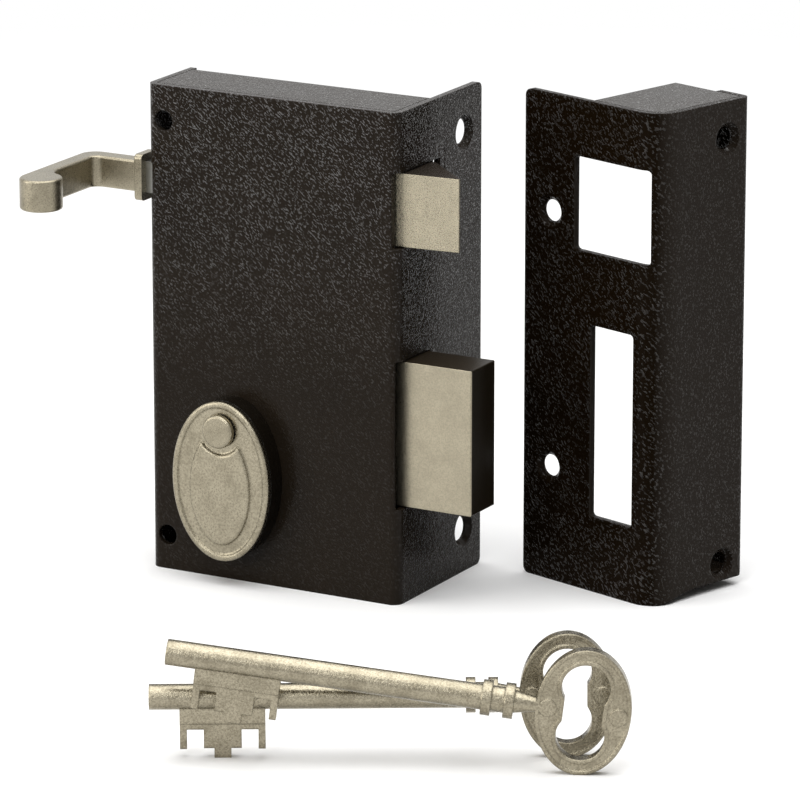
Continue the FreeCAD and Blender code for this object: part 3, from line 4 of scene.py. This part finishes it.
import bmesh
import bpy
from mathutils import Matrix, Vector


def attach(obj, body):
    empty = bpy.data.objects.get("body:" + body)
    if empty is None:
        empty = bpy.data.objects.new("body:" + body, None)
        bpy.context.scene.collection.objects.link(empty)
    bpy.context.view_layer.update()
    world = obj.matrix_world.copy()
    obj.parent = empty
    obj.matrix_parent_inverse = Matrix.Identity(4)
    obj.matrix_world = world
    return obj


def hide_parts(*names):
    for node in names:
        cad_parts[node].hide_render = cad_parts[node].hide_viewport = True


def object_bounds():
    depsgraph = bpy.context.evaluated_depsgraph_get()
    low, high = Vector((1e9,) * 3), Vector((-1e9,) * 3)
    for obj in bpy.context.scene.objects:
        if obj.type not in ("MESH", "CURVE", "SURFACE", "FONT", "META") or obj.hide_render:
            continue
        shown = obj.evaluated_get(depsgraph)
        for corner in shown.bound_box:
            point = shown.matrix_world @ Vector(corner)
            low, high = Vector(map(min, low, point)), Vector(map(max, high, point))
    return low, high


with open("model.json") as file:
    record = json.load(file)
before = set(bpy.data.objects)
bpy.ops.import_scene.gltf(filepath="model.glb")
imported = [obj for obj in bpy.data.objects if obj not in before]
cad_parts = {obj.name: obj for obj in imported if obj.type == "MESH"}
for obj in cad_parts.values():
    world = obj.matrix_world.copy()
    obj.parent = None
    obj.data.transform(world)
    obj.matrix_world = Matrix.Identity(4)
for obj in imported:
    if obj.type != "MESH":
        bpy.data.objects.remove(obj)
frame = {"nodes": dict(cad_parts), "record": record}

# Lengths are in metres and angles in degrees
cad_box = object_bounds()
scene = bpy.context.scene

# The camera that the photograph was fitted with
CAMERA_PLACE = (0.8190, -1.4241, 0.4314)
CAMERA_YAW = 29.07
CAMERA_PITCH = 15.42
LENS_MM = 271.9
SENSOR_MM = 36.0
CAMERA_REACH = 20

# The set stands on the floor at the lowest point of the CAD model
FLOOR_HEIGHT = cad_box[0][2]
FLOOR_REACH = 6.0
# The floor takes shadows up to the first distance and is plain white from the second
FLOOR_FADE = (0.35, 0.75)
MIDDLE = Vector([(low + high) / 2 for low, high in zip(*cad_box)])

# The latch window in the forend: the sheet's two faces (X), the window's back edge as modelled and
# as the photograph shows it (Y), the notch's front edge (Y), and the heights (Z)
SHEET_INSIDE, SHEET_OUTSIDE = 0.038, 0.040
WINDOW_BACK, WINDOW_BACK_SHOWN, NOTCH_FRONT = 0.0026, 0.0, -0.0018
WINDOW_FOOT, WINDOW_TOP, NOTCH_TOP = 0.0317, 0.0531, 0.0571

# The radius that sharp metal edges look rounded by
EDGE = 0.0004
EDGE_SAMPLES = 6

# Paint: the specks are drawn out and slant down to the right, and fade to a share of their strength
SPECK_STRETCH = 2.1
SPECK_SLANT = 40
FADED_SPECKS = 0.14
END_SPECKS = 0.33
PAINT_TONE_SCALE = 45.0

# Metal
STAIN_SCALE = 160.0
DRAWN_LINES = (60, 2500, 2500)
DRAWN_DEPTH = 0.00002
NICKEL = (0.318, 0.286, 0.213)
NICKEL_STAIN = (0.185, 0.163, 0.117)
KEY_SHADE = (0.150, 0.130, 0.090)

WHITE = (1, 1, 1, 1)
WORLD_COLOUR = (1.0, 0.98, 0.95, 1)
WORLD_STRENGTH = 0.16
FLOOR_LIT = (0.30, 0.30, 0.30)
FLOOR_SEEN = (0.98, 0.98, 0.98)


def scaled(colour, factor):
    return [channel * factor for channel in colour]


# Node helpers
def feed(tree, node, inputs):
    """Gives each named or numbered input of a node a value, or a link where that is a socket."""
    for key, value in inputs.items():
        if isinstance(value, bpy.types.NodeSocket):
            tree.links.new(value, node.inputs[key])
        else:
            node.inputs[key].default_value = value


def add(tree, kind, inputs, **properties):
    node = tree.nodes.new(kind)
    for name, value in properties.items():
        setattr(node, name, value)
    feed(tree, node, inputs)
    return node


def new_material(name):
    material = bpy.data.materials.new(name)
    material.use_nodes = True
    tree = material.node_tree
    return material, tree, tree.nodes["Principled BSDF"]


def object_place(tree, stretch=(1, 1, 1)):
    """The place on the piece, which stays with the piece as it moves."""
    coordinates = add(tree, "ShaderNodeTexCoord", {})
    mapping = add(
        tree, "ShaderNodeMapping", {"Vector": coordinates.outputs["Object"], "Scale": stretch}
    )
    return mapping.outputs["Vector"]


def slanting_place(tree, stretch, slant):
    """The place on the piece, drawn out along a line that falls to the right by slant degrees."""
    coordinates = add(tree, "ShaderNodeTexCoord", {})
    mapping = add(
        tree,
        "ShaderNodeMapping",
        {
            "Vector": coordinates.outputs["Object"],
            "Scale": (stretch, 1, 1),
            "Rotation": (0, math.radians(slant), 0),
        },
        vector_type="TEXTURE",
    )
    return mapping.outputs["Vector"]


def split(tree, vector):
    """The X, Y and Z of a vector, by name."""
    return add(tree, "ShaderNodeSeparateXYZ", {0: vector}).outputs


def facing_direction(tree):
    """The X, Y and Z of the direction a face points in, by name."""
    return split(tree, add(tree, "ShaderNodeTexCoord", {}).outputs["Normal"])


def noise(tree, place, scale, detail, roughness=0.5):
    inputs = {"Vector": place, "Scale": scale, "Detail": detail, "Roughness": roughness}
    return add(tree, "ShaderNodeTexNoise", inputs).outputs["Fac"]


def spread(tree, value, low, high, to_low=0.0, to_high=1.0):
    """Maps a range of a value to another range."""
    inputs = {
        "Value": value,
        "From Min": low,
        "From Max": high,
        "To Min": to_low,
        "To Max": to_high,
    }
    return add(tree, "ShaderNodeMapRange", inputs).outputs["Result"]


def calculate(tree, operation, first, second):
    return add(tree, "ShaderNodeMath", {0: first, 1: second}, operation=operation).outputs["Value"]


def multiply(tree, first, second):
    return calculate(tree, "MULTIPLY", first, second)


def blend(tree, share, first, second):
    """A mix of two colours, each of which is a socket or three numbers."""
    colours = [c if isinstance(c, bpy.types.NodeSocket) else (*c, 1) for c in (first, second)]
    mix = add(tree, "ShaderNodeMix", {0: share, 6: colours[0], 7: colours[1]}, data_type="RGBA")
    return mix.outputs[2]


def bump(tree, height, distance, before):
    inputs = {"Height": height, "Distance": distance, "Strength": 1.0}
    if before is not None:
        inputs["Normal"] = before
    return add(tree, "ShaderNodeBump", inputs).outputs["Normal"]


def soft_edges(tree, radius):
    """A surface direction that turns smoothly over sharp edges, as on rubbed or painted metal."""
    return add(tree, "ShaderNodeBevel", {"Radius": radius}, samples=EDGE_SAMPLES).outputs["Normal"]


def seen_ray(tree):
    """1 for rays seen by the camera, straight, mirrored or passed on; 0 for light that spreads."""
    rays = add(tree, "ShaderNodeLightPath", {}).outputs
    mirrored = calculate(tree, "MAXIMUM", rays["Is Camera Ray"], rays["Is Glossy Ray"])
    return calculate(tree, "MAXIMUM", mirrored, rays["Is Transmission Ray"])


# Finishes
def hammered_paint(
    name, colour, grain_scale, depth, roughness, dull, glossy, fade=None, edge=EDGE, painted_light_end_colour=None
):
    """Gloss paint over a rough coat, with small shining specks in slanting streaks.

    dull and glossy are the specular levels between and on the specks. fade is the pair of heights
    between which the specks grow to their full strength. The faces towards +X take the
    painted-light end colour, where given, as painted light on that side, and keep a third of the
    specks.
    """
    material, tree, shader = new_material(name)
    place = object_place(tree)
    slanted = slanting_place(tree, SPECK_STRETCH, SPECK_SLANT)
    specks = spread(tree, noise(tree, slanted, grain_scale, 1.0, 0.45), 0.55, 0.66)
    streaks = spread(tree, noise(tree, slanted, grain_scale * 0.2, 2.0), 0.34, 0.6, 0.5, 1.0)
    relief = multiply(tree, specks, streaks)
    broad = noise(tree, place, PAINT_TONE_SCALE, 2.0)
    tone = blend(tree, broad, scaled(colour, 0.85), scaled(colour, 1.15))
    # Painted light: the faces towards +X take a lighter colour for the light falling on that side,
    # and fewer specks.
    if painted_light_end_colour is not None:
        towards_x = facing_direction(tree)["X"]
        relief = multiply(tree, relief, spread(tree, towards_x, 0.6, 0.95, 1.0, END_SPECKS))
        tone = blend(tree, spread(tree, towards_x, 0.4, 0.95), tone, painted_light_end_colour)
    if fade is not None:
        strength = spread(tree, split(tree, place)["Z"], *fade, FADED_SPECKS, 1.0)
        relief = multiply(tree, relief, strength)
    orange_peel = noise(tree, place, grain_scale * 0.3, 2.0)
    normal = bump(tree, orange_peel, depth * 0.6, soft_edges(tree, edge))
    inputs = {
        "Base Color": tone,
        "Roughness": spread(tree, broad, 0.3, 0.7, roughness * 0.9, roughness * 1.1),
        "Specular IOR Level": spread(tree, relief, 0.0, 1.0, dull, glossy),
        "Normal": bump(tree, relief, depth, normal),
    }
    feed(tree, shader, inputs)
    return material


def grained_surface(tree, grain, roughness, depth, edge):
    """The roughness and direction that a cast surface's grain gives it."""
    return {
        "Roughness": spread(tree, grain, 0.3, 0.7, roughness * 0.8, roughness * 1.25),
        "Normal": bump(tree, grain, depth, soft_edges(tree, edge)),
    }


def cast_grain(tree, grain_scale):
    """The fine grain of a casting and the broader stains on it."""
    place = object_place(tree)
    return noise(tree, place, grain_scale, 3.0, 0.65), noise(tree, place, STAIN_SCALE, 5.0, 0.6)


def cast_metal(name, colour, dark, roughness, grain_scale, grain_depth, edge=EDGE):
    """Plated metal with the fine grain of a casting and faint stains."""
    material, tree, shader = new_material(name)
    grain, stains = cast_grain(tree, grain_scale)
    clean = spread(tree, stains, 0.3, 0.6, 0.35, 1.0)
    share = multiply(tree, clean, spread(tree, grain, 0.36, 0.6, 0.35, 1.25))
    inputs = {"Base Color": blend(tree, share, dark, colour), "Metallic": 1.0}
    feed(tree, shader, inputs | grained_surface(tree, grain, roughness, grain_depth, edge))
    return material


def nickel_with_painted_shade(name, colour, dark, roughness, grain_scale, grain_depth, all_but_top=False):
    """Nickel towards -Y, or with all_but_top on all but the top; painted shade and dark reflection
    elsewhere, lighter towards +Z as painted light.
    """
    material, tree, shader = new_material(name)
    direction = facing_direction(tree)
    top = spread(tree, direction["Z"], 0.5, 0.9)
    if all_but_top:
        facing = spread(tree, direction["Z"], 0.5, 0.9, 1.0, 0.0)
    else:
        facing = spread(tree, direction["Y"], -0.35, -0.75)
    grain, stains = cast_grain(tree, grain_scale)
    clean = spread(tree, spread(tree, stains, 0.35, 0.7), 0.0, 1.0, 0.6, 1.0)
    share = multiply(tree, clean, spread(tree, grain, 0.36, 0.6, 0.45, 1.2))
    plated = blend(tree, share, scaled(colour, 0.7), scaled(colour, 1.1))
    # Painted shade: the faces that are not plated take the dark colour for the shade and dark
    # reflections on them, and the faces towards +Z take it 1.9 times lighter as painted light from
    # above.
    painted_shade_sides = blend(tree, top, dark, scaled(dark, 1.9))
    inputs = {
        "Base Color": blend(tree, facing, painted_shade_sides, plated),
        "Metallic": facing,
        "Specular IOR Level": spread(tree, facing, 0.0, 1.0, 0.10, 0.5),
    }
    feed(tree, shader, inputs | grained_surface(tree, grain, roughness, grain_depth, EDGE))
    return material


def drawn_metal(name, colour, roughness):
    """Rolled or drawn metal with fine lines along X."""
    material, tree, shader = new_material(name)
    lines = noise(tree, object_place(tree, DRAWN_LINES), 1.0, 3.0)
    inputs = {
        "Base Color": blend(tree, lines, scaled(colour, 0.8), scaled(colour, 1.15)),
        "Roughness": spread(tree, lines, 0.3, 0.7, roughness * 0.8, roughness * 1.2),
        "Normal": bump(tree, lines, DRAWN_DEPTH, None),
        "Metallic": 1.0,
    }
    feed(tree, shader, inputs)
    return material


def make_finishes():
    """One material for each slot of the record."""
    return {
        "case_paint": hammered_paint(
            "hammered_paint",
            colour=(0.016, 0.0115, 0.0075),
            grain_scale=2300.0,
            depth=0.00015,
            roughness=0.2,
            dull=0.07,
            glossy=1.05,
            fade=(-0.015, 0.06),
            edge=0.0007,
        ),
        "boss_paint": hammered_paint(
            "gloss_paint",
            colour=(0.008, 0.006, 0.004),
            grain_scale=900.0,
            depth=0.00003,
            roughness=0.2,
            dull=0.1,
            glossy=0.3,
        ),
        "satin_nickel": cast_metal(
            "satin_nickel",
            NICKEL,
            NICKEL_STAIN,
            roughness=0.3,
            grain_scale=2600.0,
            grain_depth=0.00006,
        ),
        "plain_steel": drawn_metal("zinc_steel", colour=(0.25, 0.25, 0.235), roughness=0.36),
        "spring_steel": drawn_metal("spring_steel", colour=(0.20, 0.20, 0.21), roughness=0.3),
        "lever_brass": drawn_metal("lever_brass", colour=(0.40, 0.28, 0.12), roughness=0.34),
    }


def key_finish(name):
    return cast_metal(
        name,
        NICKEL,
        KEY_SHADE,
        roughness=0.24,
        grain_scale=1900.0,
        grain_depth=0.00010,
        edge=0.0008,
    )


def make_own_finishes():
    """Nodes whose finish differs from the rest of their slot."""
    return {
        # The deadbolt's faces other than its front, and the latch's top, are painted dark as
        # painted shade and painted dark reflection on the nickel, lighter towards +Z as painted
        # light from above.
        "deadbolt": nickel_with_painted_shade(
            "bolt_nickel_painted_shade",
            NICKEL,
            dark=(0.010, 0.0072, 0.0042),
            roughness=0.34,
            grain_scale=2600.0,
            grain_depth=0.00005,
        ),
        "latch_bolt": nickel_with_painted_shade(
            "latch_nickel_painted_shade",
            NICKEL,
            dark=(0.012, 0.009, 0.0065),
            roughness=0.27,
            grain_scale=3000.0,
            grain_depth=0.00018,
            all_but_top=True,
        ),
        # The keeper's faces towards +X are painted lighter: painted light on that side.
        "keeper_plate": hammered_paint(
            "keeper_paint",
            colour=(0.0075, 0.0042, 0.0016),
            grain_scale=1800.0,
            depth=0.00012,
            roughness=0.2,
            dull=0.02,
            glossy=0.42,
            edge=0.0010,
            painted_light_end_colour=(0.036, 0.030, 0.025),
        ),
        "keyhole_cover": cast_metal(
            "cover_nickel",
            NICKEL,
            NICKEL_STAIN,
            roughness=0.27,
            grain_scale=1500.0,
            grain_depth=0.00004,
            edge=0.0011,
        ),
        "key_1": key_finish("key_nickel"),
        "key_2": key_finish("rear_key_nickel"),
    }


def paint_nodes(finishes, own_finishes):
    """Each CAD node takes the finish of its slot, or its own."""
    for part in frame["record"]["subparts"]:
        piece = frame["nodes"][part["node"]]
        finish = own_finishes.get(part["node"], finishes[part["material_slot"]])
        if not piece.material_slots:
            piece.data.materials.append(finish)
        for holder in piece.material_slots:
            holder.material = finish


# The own piece
def mend_latch_window():
    """Shows the case with a plain latch window that ends at the case's back.

    The sheet is continued over the notch and over the strip behind the window.
    """
    source = frame["nodes"]["case_shell"]
    mesh = source.data.copy()
    piece = bpy.data.objects.new("case_shell_plain_window", mesh)
    scene.collection.objects.link(piece)
    piece.matrix_world = source.matrix_world.copy()
    to_piece = source.matrix_world.inverted()
    outline = [
        (WINDOW_BACK, WINDOW_FOOT),
        (WINDOW_BACK, NOTCH_TOP),
        (NOTCH_FRONT, NOTCH_TOP),
        (NOTCH_FRONT, WINDOW_TOP),
        (WINDOW_BACK_SHOWN, WINDOW_TOP),
        (WINDOW_BACK_SHOWN, WINDOW_FOOT),
    ]
    # The outline's runs that border the window; the others lie against the sheet
    open_runs = (3, 4)
    builder = bmesh.new()
    builder.from_mesh(mesh)
    outside, inside = (
        [builder.verts.new(to_piece @ Vector((x, y, z))) for y, z in outline]
        for x in (SHEET_OUTSIDE, SHEET_INSIDE)
    )
    added = [builder.faces.new(outside), builder.faces.new(inside[::-1])]
    for i in open_runs:
        added.append(builder.faces.new((outside[i + 1], outside[i], inside[i], inside[i + 1])))
    for face in added:
        face.smooth = False
    builder.to_mesh(mesh)
    builder.free()
    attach(piece, "lock_case")
    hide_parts("case_shell")


# Camera, surroundings and lights
def make_camera():
    data = bpy.data.cameras.new("photo_camera")
    data.sensor_width = SENSOR_MM
    data.lens = LENS_MM
    data.clip_end = CAMERA_REACH
    camera = bpy.data.objects.new("photo_camera", data)
    scene.collection.objects.link(camera)
    scene.camera = camera
    camera.location = CAMERA_PLACE
    yaw = math.radians(CAMERA_YAW)
    pitch = math.radians(CAMERA_PITCH)
    level = math.cos(pitch)
    forward = Vector((-math.sin(yaw) * level, math.cos(yaw) * level, -math.sin(pitch)))
    camera.rotation_euler = forward.to_track_quat("-Z", "Y").to_euler()


def make_floor():
    """A pale floor far wider than the view, with shadows near the set and white further out."""
    mesh = bpy.data.meshes.new("floor")
    signs = ((-1, -1), (1, -1), (1, 1), (-1, 1))
    corners = [(x * FLOOR_REACH, y * FLOOR_REACH, FLOOR_HEIGHT) for x, y in signs]
    mesh.from_pydata(corners, [], [(0, 1, 2, 3)])
    floor = bpy.data.objects.new("floor", mesh)
    scene.collection.objects.link(floor)
    material, tree, shader = new_material("floor_paper")
    tone = blend(tree, seen_ray(tree), FLOOR_LIT, FLOOR_SEEN)
    feed(tree, shader, {"Base Color": tone, "Roughness": 1.0, "Specular IOR Level": 0.0})
    reach = add(tree, "ShaderNodeVectorMath", {0: object_place(tree)}, operation="LENGTH")
    far_out = spread(tree, reach.outputs["Value"], *FLOOR_FADE)
    white = add(tree, "ShaderNodeEmission", {"Color": WHITE, "Strength": 1.0})
    share = multiply(tree, seen_ray(tree), far_out)
    mix = add(
        tree, "ShaderNodeMixShader", {0: share, 1: shader.outputs["BSDF"], 2: white.outputs[0]}
    )
    feed(tree, tree.nodes["Material Output"], {"Surface": mix.outputs[0]})
    mesh.materials.append(material)


def make_world():
    """White where the camera sees past the floor, and dim for the light that it gives."""
    world = bpy.data.worlds.new("studio")
    scene.world = world
    world.use_nodes = True
    tree = world.node_tree
    seen = tree.nodes["Background"]
    feed(tree, seen, {"Color": WHITE, "Strength": 1.0})
    inputs = {"Color": WORLD_COLOUR, "Strength": WORLD_STRENGTH}
    lighting = add(tree, "ShaderNodeBackground", inputs)
    inputs = {0: seen_ray(tree), 1: lighting.outputs[0], 2: seen.outputs[0]}
    mix = add(tree, "ShaderNodeMixShader", inputs)
    feed(tree, tree.nodes["World Output"], {"Surface": mix.outputs[0]})


def add_softbox(name, place, width, height, watts, colour=(1, 1, 1)):
    """A rectangular studio light that faces the middle of the set."""
    data = bpy.data.lights.new(name, "AREA")
    data.shape = "RECTANGLE"
    data.size = width
    data.size_y = height
    data.energy = watts
    data.color = colour
    lamp = bpy.data.objects.new(name, data)
    scene.collection.objects.link(lamp)
    lamp.location = place
    lamp.rotation_euler = (MIDDLE - Vector(place)).to_track_quat("-Z", "Y").to_euler()


def make_lights():
    add_softbox("overhead_softbox", (0.1, -0.1, 1.6), width=2.3, height=2.3, watts=49.0)
    add_softbox(
        "left_softbox",
        (-1.3, -1.3, 0.25),
        width=0.9,
        height=1.5,
        watts=17.0,
        colour=(1.0, 0.97, 0.92),
    )
    add_softbox("front_strip", (0.1, -1.9, 0.9), width=1.2, height=0.35, watts=9.0)


make_camera()
paint_nodes(make_finishes(), make_own_finishes())
mend_latch_window()
make_floor()
make_world()
make_lights()
scene.view_settings.view_transform = "Standard"

bpy.context.view_layer.update()
